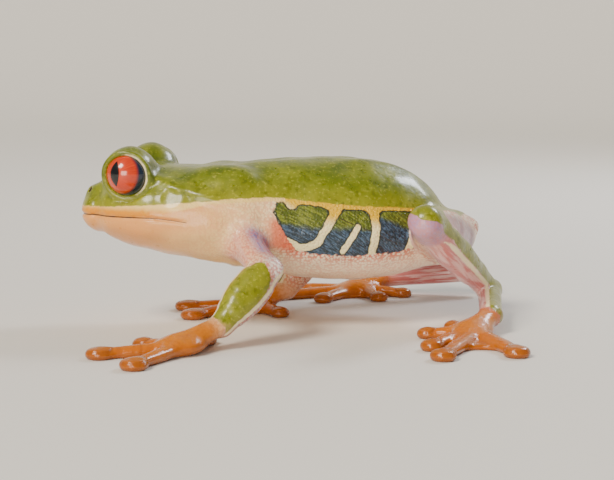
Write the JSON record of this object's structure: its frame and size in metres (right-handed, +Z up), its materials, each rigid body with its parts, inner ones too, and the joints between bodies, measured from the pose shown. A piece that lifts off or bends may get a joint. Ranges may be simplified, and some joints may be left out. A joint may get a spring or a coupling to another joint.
{
  "type": "red-eyed tree frog model",
  "caption": "Life-size still model of a red-eyed tree frog walking with its toes spread, belly clear of the floor.",
  "frame": {"origin": "on the floor under the middle of the whole frog's box", "axes": "+X towards the vent, so the snout points to -X; +Y towards the frog's right side; +Z up"},
  "size_m": [0.0707, 0.0785, 0.0282],
  "materials": {
    "back_skin": "moist smooth green skin with a cream belly and blue flanks barred with yellow",
    "throat_skin": "moist peach and cream skin of the throat and lips",
    "limb_skin": "moist granular cream and pink skin",
    "foot_skin": "wet glossy orange skin with brown pads",
    "eye": "wet clear cornea over a red iris with an upright pupil"
  },
  "bodies": {
    "root": {"head": "back_skin", "torso": "back_skin", "lower_jaw": "throat_skin", "eye_left": "eye", "upper_arm_left": "limb_skin", "forearm_left": "limb_skin", "thigh_left": "limb_skin", "shank_left": "limb_skin", "tarsus_left": "limb_skin", "hand_left": "foot_skin", "foot_left": "foot_skin", "finger_left_1": "foot_skin", "finger_left_2": "foot_skin", "finger_left_3": "foot_skin", "finger_left_4": "foot_skin", "toe_left_1": "foot_skin", "toe_left_2": "foot_skin", "toe_left_3": "foot_skin", "toe_left_4": "foot_skin", "toe_left_5": "foot_skin", "eye_right": "eye", "upper_arm_right": "limb_skin", "forearm_right": "limb_skin", "thigh_right": "limb_skin", "shank_right": "limb_skin", "tarsus_right": "limb_skin", "hand_right": "foot_skin", "foot_right": "foot_skin", "finger_right_1": "foot_skin", "finger_right_2": "foot_skin", "finger_right_3": "foot_skin", "finger_right_4": "foot_skin", "toe_right_1": "foot_skin", "toe_right_2": "foot_skin", "toe_right_3": "foot_skin", "toe_right_4": "foot_skin", "toe_right_5": "foot_skin"}
  },
  "joints": []
}
